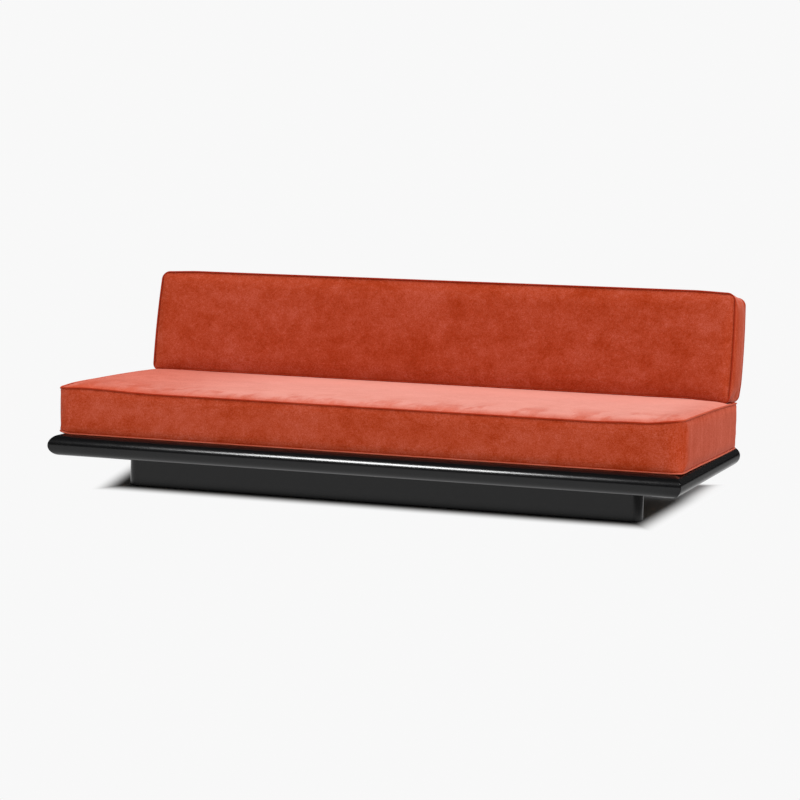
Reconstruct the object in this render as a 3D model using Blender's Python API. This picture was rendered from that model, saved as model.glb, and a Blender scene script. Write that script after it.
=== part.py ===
"""A low three-seater sofa: a black platform with a half-round edge on a set-back plinth, one long seat
cushion that lies loose on the deck, and one long back cushion that drops over three hidden steel posts.
Metres, +Z up, the front of the sofa towards -Y. The origin is the middle of the bounding box, on the floor."""

import math

import bmesh
import bpy
from mathutils import Matrix, Vector

# Gap between meshes that touch, and the looser fit of a part that slides on another.
TOUCH = 0.0003
SLIDE_FIT = 0.0006

# Platform: four mitred rails with a half-round outer edge, a deck in their rebate.
PLATFORM_WIDTH = 2.300
PLATFORM_DEPTH = 0.950
PLATFORM_THICK = 0.074
RAIL_WIDTH = 0.090
REBATE_WIDTH = 0.020
DECK_THICK = 0.018
BEARER_THICK = 0.045
BEARER_INNER = 0.360
BEARER_PAST_POST = 0.080
CORNER_BLOCK_LEG = 0.075
CORNER_BLOCK_HEIGHT = 0.042

# Plinth: two boards with full-round upright ends, the rear one shorter, tied by stretchers, on glides.
PLINTH_HEIGHT = 0.124
PLINTH_THICK = 0.074
PLINTH_END_INSET = 0.194
REAR_PLINTH_SHORTER = 0.105
PLINTH_SETBACK = 0.255
STRETCHER_THICK = 0.025
STRETCHER_END_INSET = 0.080
STRETCHER_HEIGHT = 0.090
GLIDE_RADIUS = 0.016
GLIDE_THICK = 0.003
GLIDE_END_INSET = 0.110

# Seat cushion: a box cushion with piping round the top and the bottom seam.
SEAT_SIDE_MARGIN = 0.010
SEAT_FRONT_MARGIN = 0.045
SEAT_REAR_MARGIN = 0.030
SEAT_BOXING = 0.158
SEAT_CROWN = 0.011
SEAT_CORNER_LIFT = 0.011
SEAT_LIFT_SHARE = 0.88
SEAT_FALL_SHARE = 1.3
SEAT_FRONT_RADIUS = 0.045
SEAT_REAR_RADIUS = 0.020
SEAT_TOPPER = 0.050
SEAT_ZIP_LENGTH = 1.500

# Back cushion: a box cushion that leans back, over a stiff board with steel sleeves.
BACK_SIDE_MARGIN = 0.030
BACK_HEIGHT = 0.386
BACK_THICK = 0.170
BACK_CROWN = 0.011
BACK_BOW = 0.0075
BACK_BOW_SHARE = 0.35
BACK_REAR_DRAW = 0.002
BACK_DRAW_SHARE = 0.45
BACK_FOOT_RADIUS = 0.024
BACK_TOP_RADIUS = 0.030
BACK_TILT = math.radians(10.8)
BACK_OVERLAP = 0.079
BACK_BOARD_THICK = 0.012
BACK_BOARD_INSET = 0.030
BACK_ZIP_LENGTH = 1.300
BACK_ZIP_SETBACK = 0.036

# Covers, piping and zips of both cushions.
COVER_WALL = 0.002
FOAM_CLEARANCE = 0.0015
BOXING_BULGE = 0.003
SEAM_CHAMFER = 0.008
PIPING_RADIUS = 0.003
PIPING_GAP = 0.0006
ZIP_WIDTH = 0.012
ZIP_THICK = 0.0015

# Posts: flat steel bars that stand in mortises of the rear rail and lean with the back cushion.
POST_END_INSET = 0.320
POST_WIDTH = 0.040
POST_THICK = 0.008
POST_BEHIND_SEAT = 0.002
POST_MORTISE = 0.060
POST_BEND_BELOW = 0.034
POST_BEND_RADIUS = 0.060
POST_IN_CUSHION = 0.215
SLEEVE_WALL = 0.002
SLEEVE_LENGTH = 0.200
SLOT_CLEARANCE = 0.003
BOLT_RADIUS = 0.004
BOLT_HEAD_RADIUS = 0.0068
BOLT_HEAD_HEIGHT = 0.006
BOLT_PAST_POST = 0.004
BOLT_BELOW_DECK = 0.026

ROUND_STEPS = 16
CORNER_STEPS = 6
PIPING_SIDES = 8
CROWN_REACH = 0.120
EDGE_STATIONS = (0.12, 0.88)
# Where the crown's facets lie; the third is the line where the back cushion rests on the seat.
CROWN_INSETS = (0.016, 0.036, BACK_OVERLAP - SEAM_CHAMFER, CROWN_REACH)

# Heights and places that follow from the sizes above.
UNDERSIDE = GLIDE_THICK + PLINTH_HEIGHT
PLATFORM_TOP = UNDERSIDE + PLATFORM_THICK
DECK_BOTTOM = PLATFORM_TOP - DECK_THICK
EDGE_RADIUS = PLATFORM_THICK / 2
RAIL_INNER_X = PLATFORM_WIDTH / 2 - RAIL_WIDTH
RAIL_INNER_Y = PLATFORM_DEPTH / 2 - RAIL_WIDTH
PLINTH_LENGTH = PLATFORM_WIDTH - 2 * PLINTH_END_INSET
REAR_PLINTH_LENGTH = PLINTH_LENGTH - 2 * REAR_PLINTH_SHORTER
PLINTH_FACE_Y = PLATFORM_DEPTH / 2 - PLINTH_SETBACK
PIPING_INSET = SEAM_CHAMFER / 2 - (PIPING_RADIUS + PIPING_GAP) / math.sqrt(2)
PIPING_PROUD = PIPING_RADIUS - PIPING_INSET
SEAT_FRONT_Y = -PLATFORM_DEPTH / 2 + SEAT_FRONT_MARGIN
SEAT_REAR_Y = PLATFORM_DEPTH / 2 - SEAT_REAR_MARGIN
SEAT_WIDTH = PLATFORM_WIDTH - 2 * SEAT_SIDE_MARGIN
SEAT_DEPTH = SEAT_REAR_Y - SEAT_FRONT_Y
SEAT_BOTTOM = PLATFORM_TOP + PIPING_PROUD + TOUCH
SEAT_SEAM = SEAT_BOTTOM + SEAT_BOXING


def crown(inset, height):
    """How far a cushion's face rises above its seam at this distance in from the edge."""
    across = min(max(inset / CROWN_REACH, 0.0), 1.0)
    return height * (1 - (1 - across) ** 2)


BACK_WIDTH = PLATFORM_WIDTH - 2 * BACK_SIDE_MARGIN
BACK_FRONT_Y = SEAT_REAR_Y - BACK_OVERLAP
BACK_BOTTOM = SEAT_SEAM + crown(BACK_OVERLAP - SEAM_CHAMFER, SEAT_CROWN) + PIPING_PROUD + TOUCH
POST_Y = SEAT_REAR_Y + PIPING_PROUD + POST_BEHIND_SEAT + POST_THICK / 2
POST_BEND_Z = BACK_BOTTOM - POST_BEND_BELOW
# Distance of the posts behind the front face of the back cushion, measured square to it.
POST_SETBACK = (POST_Y - BACK_FRONT_Y) * math.cos(BACK_TILT) + POST_BEND_BELOW * math.sin(BACK_TILT)
SLEEVE_OUTER_THICK = POST_THICK + 2 * (SLIDE_FIT + SLEEVE_WALL)
SLEEVE_OUTER_WIDTH = POST_WIDTH + 2 * (SLIDE_FIT + SLEEVE_WALL)
BOARD_REAR = POST_SETBACK - SLEEVE_OUTER_THICK / 2 - TOUCH
BOARD_FRONT = BOARD_REAR - BACK_BOARD_THICK
POST_OUTER = BACK_WIDTH / 2 - POST_END_INSET
POST_PLACES = {"left": -POST_OUTER, "centre": 0.0, "right": POST_OUTER}
BEARER_OUTER = POST_OUTER + BEARER_PAST_POST
BEARER_PLACES = {
    "outer_left": -BEARER_OUTER,
    "inner_left": -BEARER_INNER,
    "inner_right": BEARER_INNER,
    "outer_right": BEARER_OUTER,
}
STRETCHER_OUTER = REAR_PLINTH_LENGTH / 2 - STRETCHER_END_INSET
STRETCHER_PLACES = {
    "outer_left": -STRETCHER_OUTER,
    "inner_left": -BEARER_INNER,
    "inner_right": BEARER_INNER,
    "outer_right": STRETCHER_OUTER,
}

for old in list(bpy.data.objects):
    bpy.data.objects.remove(old, do_unlink=True)


def material(name, colour, roughness, metallic=0.0):
    """A Principled material, made once for each name."""
    found = bpy.data.materials.get(name)
    if found:
        return found
    made = bpy.data.materials.new(name)
    made.use_nodes = True
    made.diffuse_color = (*colour, 1.0)
    shader = made.node_tree.nodes["Principled BSDF"]
    shader.inputs["Base Color"].default_value = (*colour, 1.0)
    shader.inputs["Roughness"].default_value = roughness
    shader.inputs["Metallic"].default_value = metallic
    return made


BLACK_LACQUER = material("black_lacquer", (0.012, 0.012, 0.013), 0.28)
PLYWOOD = material("plywood", (0.55, 0.38, 0.20), 0.60)
BEECH = material("beech", (0.60, 0.40, 0.22), 0.55)
VELVET = material("rust_velvet", (0.46, 0.07, 0.03), 0.85)
PIPING_VELVET = material("piping_velvet", (0.42, 0.06, 0.025), 0.85)
FOAM = material("foam", (0.80, 0.76, 0.62), 0.90)
STEEL = material("black_steel", (0.03, 0.03, 0.032), 0.45, 0.8)
ZINC = material("zinc", (0.55, 0.56, 0.58), 0.35, 1.0)
NYLON = material("nylon", (0.05, 0.05, 0.05), 0.50)
ZIP_TAPE = material("zip_tape", (0.25, 0.05, 0.03), 0.70)


def empty(name, parent=None, location=(0, 0, 0)):
    made = bpy.data.objects.new(name, None)
    bpy.context.collection.objects.link(made)
    made.parent = parent
    made.location = location
    return made


SOFA = empty("sofa")
SEAT_SLIDE = empty("seat_slide", SOFA, (0, (SEAT_FRONT_Y + SEAT_REAR_Y) / 2, PLATFORM_TOP))
BACK_LIFT = empty("back_lift", SOFA, (0, BACK_FRONT_Y, BACK_BOTTOM))
BACK_LIFT.rotation_euler = (-BACK_TILT, 0, 0)


def add(name, mesh, look, parent=SOFA, location=(0, 0, 0), smooth=False):
    """Puts a bmesh or a curve in the scene as one named object."""
    if isinstance(mesh, bmesh.types.BMesh):
        bmesh.ops.recalc_face_normals(mesh, faces=mesh.faces)
        data = bpy.data.meshes.new(name)
        mesh.to_mesh(data)
        mesh.free()
        data.polygons.foreach_set("use_smooth", [smooth] * len(data.polygons))
    else:
        data = mesh
    made = bpy.data.objects.new(name, data)
    bpy.context.collection.objects.link(made)
    made.parent = parent
    made.location = location
    data.materials.append(look)
    return made


def cut(target, cutter):
    """Takes the cutter away from the target, and keeps the cutter out of the render."""
    cutter.hide_render = True
    cutter.display_type = "WIRE"
    boolean = target.modifiers.new("cut_" + cutter.name, "BOOLEAN")
    boolean.operation = "DIFFERENCE"
    boolean.solver = "EXACT"
    boolean.object = cutter


def block(size):
    """A box of this size about its own middle."""
    mesh = bmesh.new()
    bmesh.ops.create_cube(mesh, size=1.0)
    bmesh.ops.scale(mesh, vec=size, verts=mesh.verts)
    return mesh


def between(low, high):
    """A box from one corner to the other, and the place of its middle."""
    size = [b - a for a, b in zip(low, high)]
    middle = [(a + b) / 2 for a, b in zip(low, high)]
    return block(size), middle


def prism(outline, height):
    """A flat outline of (x, y) points drawn up by the height, from z = 0."""
    mesh = bmesh.new()
    face = mesh.faces.new([mesh.verts.new((x, y, 0)) for x, y in outline])
    drawn = bmesh.ops.extrude_face_region(mesh, geom=[face])
    tops = [item for item in drawn["geom"] if isinstance(item, bmesh.types.BMVert)]
    bmesh.ops.translate(mesh, vec=(0, 0, height), verts=tops)
    return mesh


def rod(radius, length, sides=ROUND_STEPS):
    """A round rod along +Y from its own origin."""
    mesh = bmesh.new()
    bmesh.ops.create_cone(mesh, cap_ends=True, segments=sides, radius1=radius, radius2=radius, depth=length)
    bmesh.ops.rotate(mesh, cent=(0, 0, 0), matrix=Matrix.Rotation(-math.pi / 2, 3, "X"), verts=mesh.verts)
    bmesh.ops.translate(mesh, vec=(0, length / 2, 0), verts=mesh.verts)
    return mesh


def arc(centre, radius, start, end, steps):
    """Points of an arc, from one angle to the other."""
    turns = [start + (end - start) * step / steps for step in range(steps + 1)]
    return [(centre[0] + radius * math.cos(a), centre[1] + radius * math.sin(a)) for a in turns]


def loft(loops):
    """A closed body from loops of equal length, each joined to the next, with a flat face on both ends."""
    mesh = bmesh.new()
    rows = [[mesh.verts.new(point) for point in loop] for loop in loops]
    for low, high in zip(rows, rows[1:]):
        for i in range(len(low)):
            j = (i + 1) % len(low)
            mesh.faces.new((low[i], low[j], high[j], high[i]))
    mesh.faces.new(rows[0][::-1])
    mesh.faces.new(rows[-1])
    return mesh


def rail_section():
    """The rail's section as (distance in from the outer edge, height above the underside)."""
    edge = arc((EDGE_RADIUS, EDGE_RADIUS), EDGE_RADIUS, 1.5 * math.pi, 0.5 * math.pi, ROUND_STEPS)
    step_in = RAIL_WIDTH - REBATE_WIDTH
    step_down = PLATFORM_THICK - DECK_THICK - TOUCH
    rebate = [(step_in, PLATFORM_THICK), (step_in, step_down), (RAIL_WIDTH, step_down), (RAIL_WIDTH, 0.0)]
    return edge + rebate


def rail(name, length, turn, reach):
    """One mitred rail: the section drawn between two mitre planes, then turned about the sofa's middle."""
    half = length / 2 - TOUCH
    ends = [[(side * (half - inward), inward - reach, up) for inward, up in rail_section()] for side in (-1, 1)]
    mesh = loft(ends)
    bmesh.ops.rotate(mesh, cent=(0, 0, 0), matrix=Matrix.Rotation(turn, 3, "Z"), verts=mesh.verts)
    return add(name, mesh, BLACK_LACQUER, location=(0, 0, UNDERSIDE), smooth=False)


def build_plinth():
    """Two boards with full-round ends, four stretchers between them and six glides below."""
    radius = PLINTH_THICK / 2
    middle_y = PLINTH_FACE_Y - radius
    for place, side, length in (("front", -1, PLINTH_LENGTH), ("rear", 1, REAR_PLINTH_LENGTH)):
        straight = length / 2 - radius
        right_end = arc((straight, 0), radius, -math.pi / 2, math.pi / 2, ROUND_STEPS)
        left_end = arc((-straight, 0), radius, math.pi / 2, 1.5 * math.pi, ROUND_STEPS)
        board = prism(right_end + left_end, PLINTH_HEIGHT - TOUCH)
        add(place + "_plinth", board, BLACK_LACQUER, location=(0, side * middle_y, GLIDE_THICK))
        for name, x in (("left", -1), ("centre", 0), ("right", 1)):
            disc = prism(arc((0, 0), GLIDE_RADIUS, 0, 2 * math.pi, ROUND_STEPS)[:-1], GLIDE_THICK - TOUCH)
            spot = (x * (length / 2 - GLIDE_END_INSET), side * middle_y, 0)
            add(f"{place}_{name}_glide", disc, NYLON, location=spot)
    gap = PLINTH_FACE_Y - PLINTH_THICK - TOUCH
    for name, x in STRETCHER_PLACES.items():
        low = (x - STRETCHER_THICK / 2, -gap, UNDERSIDE - STRETCHER_HEIGHT)
        high = (x + STRETCHER_THICK / 2, gap, UNDERSIDE - TOUCH)
        mesh, middle = between(low, high)
        add(name + "_stretcher", mesh, BEECH, location=middle)


def build_platform():
    """Rails, corner blocks, bearers and deck panels; the rear rail is cut for the posts."""
    rail("front_rail", PLATFORM_WIDTH, 0.0, PLATFORM_DEPTH / 2)
    rail("right_rail", PLATFORM_DEPTH, math.pi / 2, PLATFORM_WIDTH / 2)
    rail("left_rail", PLATFORM_DEPTH, -math.pi / 2, PLATFORM_WIDTH / 2)
    rear = rail("rear_rail", PLATFORM_WIDTH, math.pi, PLATFORM_DEPTH / 2)
    for name, x in POST_PLACES.items():
        low = (x - POST_WIDTH / 2 - TOUCH, POST_Y - POST_THICK / 2 - TOUCH, PLATFORM_TOP - POST_MORTISE)
        high = (x + POST_WIDTH / 2 + TOUCH, POST_Y + POST_THICK / 2 + TOUCH, PLATFORM_TOP + POST_MORTISE)
        mesh, middle = between(low, high)
        cut(rear, add(name + "_mortise", mesh, NYLON, location=middle))
        reach = POST_Y + POST_THICK / 2 + BOLT_PAST_POST - RAIL_INNER_Y + 2 * BOLT_PAST_POST
        hole = rod(BOLT_RADIUS + TOUCH, reach)
        spot = (x, RAIL_INNER_Y - BOLT_PAST_POST, DECK_BOTTOM - BOLT_BELOW_DECK)
        cut(rear, add(name + "_bolt_hole", hole, NYLON, location=spot))

    corner = Vector((RAIL_INNER_X - TOUCH, RAIL_INNER_Y - TOUCH))
    for name, sx, sy in (("front_left", -1, -1), ("front_right", 1, -1), ("rear_left", -1, 1), ("rear_right", 1, 1)):
        leg = CORNER_BLOCK_LEG
        outline = [(0, 0), (-sx * leg, 0), (0, -sy * leg)]
        spot = (sx * corner.x, sy * corner.y, DECK_BOTTOM - TOUCH - CORNER_BLOCK_HEIGHT)
        add(name + "_corner_block", prism(outline, CORNER_BLOCK_HEIGHT - TOUCH), BEECH, location=spot)

    reach_y = RAIL_INNER_Y - TOUCH
    for name, x in BEARER_PLACES.items():
        low = (x - BEARER_THICK / 2, -reach_y, UNDERSIDE)
        high = (x + BEARER_THICK / 2, reach_y, DECK_BOTTOM - TOUCH)
        mesh, middle = between(low, high)
        add(name + "_bearer", mesh, BEECH, location=middle)

    edge_x = RAIL_INNER_X + REBATE_WIDTH - TOUCH
    edge_y = RAIL_INNER_Y + REBATE_WIDTH - TOUCH
    joint = TOUCH / 2
    spans = {
        "left": (-edge_x, -BEARER_INNER - joint),
        "centre": (-BEARER_INNER + joint, BEARER_INNER - joint),
        "right": (BEARER_INNER + joint, edge_x),
    }
    for name, (start, end) in spans.items():
        mesh, middle = between((start, -edge_y, DECK_BOTTOM), (end, edge_y, PLATFORM_TOP))
        add(name + "_deck_panel", mesh, PLYWOOD, location=middle)


def ramp(value, start, end):
    """0 before start, 1 after end, and 3t^2 - 2t^3 between."""
    t = min(max((value - start) / (end - start), 0.0), 1.0)
    return t * t * (3 - 2 * t)


def rounded_loop(half_width, half_height, radii, inset):
    """A rounded rectangle drawn in by the inset, with one radius for its two low corners and one for its two high
    ones; the corners open up towards the middle, and each side has a few points between its corners."""
    wide = half_width - inset
    high = half_height - inset
    corners = []
    for quarter, (sx, sy) in enumerate(((1, 1), (-1, 1), (-1, -1), (1, -1))):
        radius = radii[0] if sy < 0 else radii[1]
        turn = min(max(radius + 0.7 * inset, 0.25 * radius), 0.95 * min(wide, high))
        centre = (sx * (wide - turn), sy * (high - turn))
        corners.append(arc(centre, turn, quarter * math.pi / 2, (quarter + 1) * math.pi / 2, CORNER_STEPS))
    points = []
    for corner, following in zip(corners, corners[1:] + corners[:1]):
        (start_x, start_y), (end_x, end_y) = corner[-1], following[0]
        side = [(start_x + (end_x - start_x) * s, start_y + (end_y - start_y) * s) for s in EDGE_STATIONS]
        points += corner + side
    return points


def cushion_profile(thick, low_crown, high_crown, draw=0.0):
    """Pairs of inset and level, from the middle of the low face round the boxing to the middle of the high face;
    the boxing draws in by the last number towards the high face."""
    low = [(SEAM_CHAMFER + inset, -crown(inset, low_crown)) for inset in CROWN_INSETS[::-1]]
    high = [(SEAM_CHAMFER + draw + inset, thick + crown(inset, high_crown)) for inset in CROWN_INSETS]
    walls = []
    for step in range(5):
        level = SEAM_CHAMFER + (thick - 2 * SEAM_CHAMFER) * step / 4
        pulled = draw * ramp(step / 4, BACK_DRAW_SHARE, 1.0)
        walls.append((pulled - BOXING_BULGE * math.sin(math.pi * step / 4), level))
    return low + [(SEAM_CHAMFER, 0.0)] + walls + [(SEAM_CHAMFER + draw, thick)] + high


def drawn_in(profile, wall):
    """The same profile, a wall's thickness further in on every side."""
    middle = sum(level for _, level in profile) / len(profile)
    return [(inset + wall, level + math.copysign(wall, middle - level)) for inset, level in profile]


def slab_profile(low, high, inset):
    """A plain slab between two levels."""
    return [(inset, low), (inset, high)]


def cushion(width, height, radii, profile, place):
    """Sweeps a profile round a rounded rectangle; place puts (across, along, level) in the sofa's frame."""
    loops = []
    for inset, level in profile:
        outline = rounded_loop(width / 2, height / 2, radii, inset)
        loops.append([place(across, along, level) for across, along in outline])
    return loft(loops)


def piping(name, width, height, radii, level, place, parent, draw=0.0):
    """A round cord along a seam, as a closed curve."""
    curve = bpy.data.curves.new(name, "CURVE")
    curve.dimensions = "3D"
    curve.bevel_depth = PIPING_RADIUS
    curve.bevel_resolution = PIPING_SIDES // 2 - 2
    curve.twist_mode = "MINIMUM"
    spline = curve.splines.new("POLY")
    outline = rounded_loop(width / 2, height / 2, radii, PIPING_INSET + draw)
    spline.points.add(len(outline) - 1)
    for point, (across, along) in zip(spline.points, outline):
        point.co = (*place(across, along, level), 1.0)
    spline.use_cyclic_u = True
    return add(name, curve, PIPING_VELVET, parent)


def seat_place(across, along, level):
    """The seat cushion lies flat: levels go up from its underside, a little more at its front corners."""
    back_share = along / SEAT_DEPTH + 0.5
    lift = SEAT_CORNER_LIFT * ramp(abs(across) / (SEAT_WIDTH / 2), SEAT_LIFT_SHARE, 1.0)
    lift *= 1 - SEAT_FALL_SHARE * back_share
    top_share = max(level - SEAT_BOXING + SEAT_TOPPER, 0.0) / SEAT_TOPPER
    return (across, along, SEAT_BOTTOM - PLATFORM_TOP + level + lift * top_share)


def back_place(across, along, level):
    """The back cushion stands on edge, level going rearwards; its ends bow out, most at a share of its height,
    and its foot is sheared to lie level on the seat."""
    up = along + BACK_HEIGHT / 2
    off = (up / BACK_HEIGHT - BACK_BOW_SHARE) / (1 - BACK_BOW_SHARE)
    across *= 1 + BACK_BOW * (1 - off * off) / (BACK_WIDTH / 2)
    up += level * math.tan(BACK_TILT) * (1 - up / BACK_HEIGHT)
    return (across, level, up)


def build_seat():
    """Cover, two foam layers, two rings of piping and the zip in the rear boxing."""
    size = (SEAT_WIDTH, SEAT_DEPTH, (SEAT_FRONT_RADIUS, SEAT_REAR_RADIUS))
    profile = cushion_profile(SEAT_BOXING, 0.0, SEAT_CROWN)
    cover = add("seat_cover", cushion(*size, profile, seat_place), VELVET, SEAT_SLIDE, smooth=True)
    hollow = cushion(*size, drawn_in(profile, COVER_WALL), seat_place)
    cut(cover, add("seat_hollow", hollow, FOAM, SEAT_SLIDE))

    rear = SEAT_DEPTH / 2 + BOXING_BULGE
    mid = SEAT_BOTTOM - PLATFORM_TOP + SEAT_BOXING / 2
    slot = block((SEAT_ZIP_LENGTH, 4 * (COVER_WALL + BOXING_BULGE), ZIP_WIDTH))
    cut(cover, add("seat_zip_slot", slot, ZIP_TAPE, SEAT_SLIDE, (0, rear, mid)))
    tape = block((SEAT_ZIP_LENGTH - 2 * TOUCH, ZIP_THICK, ZIP_WIDTH - 2 * TOUCH))
    add("seat_zip", tape, ZIP_TAPE, SEAT_SLIDE, (0, rear - COVER_WALL / 2, mid))

    inside = COVER_WALL + FOAM_CLEARANCE
    split = SEAT_BOXING - SEAT_TOPPER
    core = slab_profile(inside / 2 + COVER_WALL / 2, split - TOUCH, SEAM_CHAMFER + inside)
    add("seat_foam_core", cushion(*size, core, seat_place), FOAM, SEAT_SLIDE)
    top = [(inset, level) for inset, level in drawn_in(profile, inside) if level > SEAT_BOXING - inside - TOUCH]
    topper = [(SEAM_CHAMFER + inside, split)] + top
    add("seat_topper", cushion(*size, topper, seat_place), FOAM, SEAT_SLIDE, smooth=True)

    piping("seat_bottom_piping", *size, PIPING_INSET, seat_place, SEAT_SLIDE)
    piping("seat_top_piping", *size, SEAT_BOXING - PIPING_INSET, seat_place, SEAT_SLIDE)


def build_back():
    """Cover with slots for the posts, foam on both sides of a stiff board, sleeves, piping and zip."""
    size = (BACK_WIDTH, BACK_HEIGHT, (BACK_FOOT_RADIUS, BACK_TOP_RADIUS))
    profile = cushion_profile(BACK_THICK, BACK_CROWN, BACK_CROWN, BACK_REAR_DRAW)
    cover = add("back_cover", cushion(*size, profile, back_place), VELVET, BACK_LIFT, smooth=True)
    hollow = cushion(*size, drawn_in(profile, COVER_WALL), back_place)
    cut(cover, add("back_hollow", hollow, FOAM, BACK_LIFT))

    inside = COVER_WALL + FOAM_CLEARANCE
    inset = SEAM_CHAMFER + inside
    front = [(i, lv) for i, lv in drawn_in(profile, inside) if lv < inside + TOUCH]
    front_slab = front + [(inset, BOARD_FRONT - TOUCH)]
    add("back_front_foam", cushion(*size, front_slab, back_place), FOAM, BACK_LIFT, smooth=True)
    rear = [(i, lv) for i, lv in drawn_in(profile, inside) if lv > BACK_THICK - inside - TOUCH]
    rear_slab = [(inset, BOARD_REAR + TOUCH)] + rear
    rear_foam = add("back_rear_foam", cushion(*size, rear_slab, back_place), FOAM, BACK_LIFT, smooth=True)
    board = slab_profile(BOARD_FRONT, BOARD_REAR, BACK_BOARD_INSET)
    add("back_board", cushion(*size, board, back_place), PLYWOOD, BACK_LIFT)

    foot = POST_SETBACK * math.tan(BACK_TILT)
    sleeve_low = foot + BACK_BOARD_INSET
    for name, x in POST_PLACES.items():
        spot = (x, POST_SETBACK, sleeve_low + SLEEVE_LENGTH / 2)
        sleeve = add(name + "_post_sleeve", block((SLEEVE_OUTER_WIDTH, SLEEVE_OUTER_THICK, SLEEVE_LENGTH)),
                     STEEL, BACK_LIFT, spot)
        bore = block((POST_WIDTH + 2 * SLIDE_FIT, POST_THICK + 2 * SLIDE_FIT, 2 * SLEEVE_LENGTH))
        cut(sleeve, add(name + "_sleeve_bore", bore, STEEL, BACK_LIFT, spot))
        groove_size = (SLEEVE_OUTER_WIDTH + 2 * TOUCH, SLEEVE_OUTER_THICK + 2 * TOUCH, 2 * SLEEVE_LENGTH + 2 * TOUCH)
        groove = add(name + "_foam_groove", block(groove_size), FOAM, BACK_LIFT, (x, POST_SETBACK, sleeve_low))
        cut(rear_foam, groove)
        slot_size = (POST_WIDTH + 2 * SLOT_CLEARANCE, POST_THICK + 2 * SLOT_CLEARANCE, 2 * BACK_BOARD_INSET)
        slot = add(name + "_cover_slot", block(slot_size), VELVET, BACK_LIFT, (x, POST_SETBACK, foot))
        cut(cover, slot)

    behind = BACK_THICK - BACK_ZIP_SETBACK
    raised = BACK_REAR_DRAW * ramp(behind / BACK_THICK, BACK_DRAW_SHARE, 1.0)
    spot = (0, behind, behind * math.tan(BACK_TILT) + raised - BOXING_BULGE / 2)
    turned = (BACK_TILT, 0, 0)
    slot = add("back_zip_slot", block((BACK_ZIP_LENGTH, ZIP_WIDTH, 8 * COVER_WALL)), ZIP_TAPE, BACK_LIFT, spot)
    slot.rotation_euler = turned
    cut(cover, slot)
    tape = block((BACK_ZIP_LENGTH - 2 * TOUCH, ZIP_WIDTH - 2 * TOUCH, ZIP_THICK))
    add("back_zip", tape, ZIP_TAPE, BACK_LIFT, spot).rotation_euler = turned

    piping("back_front_piping", *size, PIPING_INSET, back_place, BACK_LIFT)
    piping("back_rear_piping", *size, BACK_THICK - PIPING_INSET, back_place, BACK_LIFT, BACK_REAR_DRAW)


def post_centreline():
    """The post's middle as (y, z) points: upright from the mortise, a bend, then the lean of the cushion."""
    bend = POST_BEND_RADIUS * math.tan(BACK_TILT / 2)
    start = (POST_Y + POST_BEND_RADIUS, POST_BEND_Z - bend)
    turn = arc(start, POST_BEND_RADIUS, math.pi, math.pi - BACK_TILT, 4)
    rise = POST_BEND_BELOW / math.cos(BACK_TILT) + POST_IN_CUSHION
    tip = (turn[-1][0] + rise * math.sin(BACK_TILT), turn[-1][1] + rise * math.cos(BACK_TILT))
    leans = [0.0] + [BACK_TILT * step / 4 for step in range(5)] + [BACK_TILT]
    return list(zip([(POST_Y, PLATFORM_TOP - POST_MORTISE + TOUCH)] + turn + [tip], leans))


def build_posts():
    """Bent flat bars with a bolt hole, and the bolts that hold them in the rear rail."""
    for name, x in POST_PLACES.items():
        loops = []
        for (y, z), lean in post_centreline():
            off = Vector((0, math.cos(lean), -math.sin(lean))) * POST_THICK / 2
            across = Vector((POST_WIDTH / 2, 0, 0))
            middle = Vector((0, y, z))
            loops.append([middle - across - off, middle + across - off, middle + across + off, middle - across + off])
        post = add(name + "_back_post", loft(loops), STEEL, location=(x, 0, 0))
        height = DECK_BOTTOM - BOLT_BELOW_DECK
        hole = add(name + "_post_hole", rod(BOLT_RADIUS + TOUCH, 4 * POST_THICK), STEEL,
                   location=(x, POST_Y - 2 * POST_THICK, height))
        cut(post, hole)
        shank = POST_Y + POST_THICK / 2 + BOLT_PAST_POST - RAIL_INNER_Y
        lathe = [(0, -BOLT_HEAD_HEIGHT), (BOLT_HEAD_RADIUS, -BOLT_HEAD_HEIGHT), (BOLT_HEAD_RADIUS, -TOUCH),
                 (BOLT_RADIUS, -TOUCH), (BOLT_RADIUS, shank), (0, shank)]
        bolt = bmesh.new()
        ring = [bolt.verts.new((radius, along, 0)) for radius, along in lathe]
        edges = [bolt.edges.new(pair) for pair in zip(ring, ring[1:])]
        bmesh.ops.spin(bolt, geom=ring + edges, cent=(0, 0, 0), axis=(0, 1, 0), angle=2 * math.pi,
                       steps=ROUND_STEPS, use_merge=True)
        bmesh.ops.remove_doubles(bolt, verts=bolt.verts, dist=TOUCH / 10)
        add(name + "_post_bolt", bolt, ZINC, location=(x, RAIL_INNER_Y, height))


def centre_on_floor():
    """Moves the whole sofa so that the middle of its bounding box is over the origin, on the floor."""
    bpy.context.view_layer.update()
    graph = bpy.context.evaluated_depsgraph_get()
    corners = []
    for item in bpy.data.objects:
        if item.type in ("MESH", "CURVE") and not item.hide_render:
            seen = item.evaluated_get(graph)
            mesh = seen.to_mesh()
            corners += [seen.matrix_world @ vertex.co for vertex in mesh.vertices]
            seen.to_mesh_clear()
    low = [min(point[axis] for point in corners) for axis in range(3)]
    high = [max(point[axis] for point in corners) for axis in range(3)]
    SOFA.location = (-(low[0] + high[0]) / 2, -(low[1] + high[1]) / 2, -low[2])
    bpy.context.view_layer.update()
    print("moved by", [round(value, 6) for value in SOFA.location])
    print("size", [round(b - a, 6) for a, b in zip(low, high)])


build_plinth()
build_platform()
build_posts()
build_seat()
build_back()
centre_on_floor()
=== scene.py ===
"""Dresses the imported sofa: velvet box cushions with piping on a black lacquered platform, in a pale studio.
Metres, +Z up, the front of the sofa towards -Y."""

import math

import bpy
import numpy as np
from mathutils import Matrix, Vector


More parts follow.
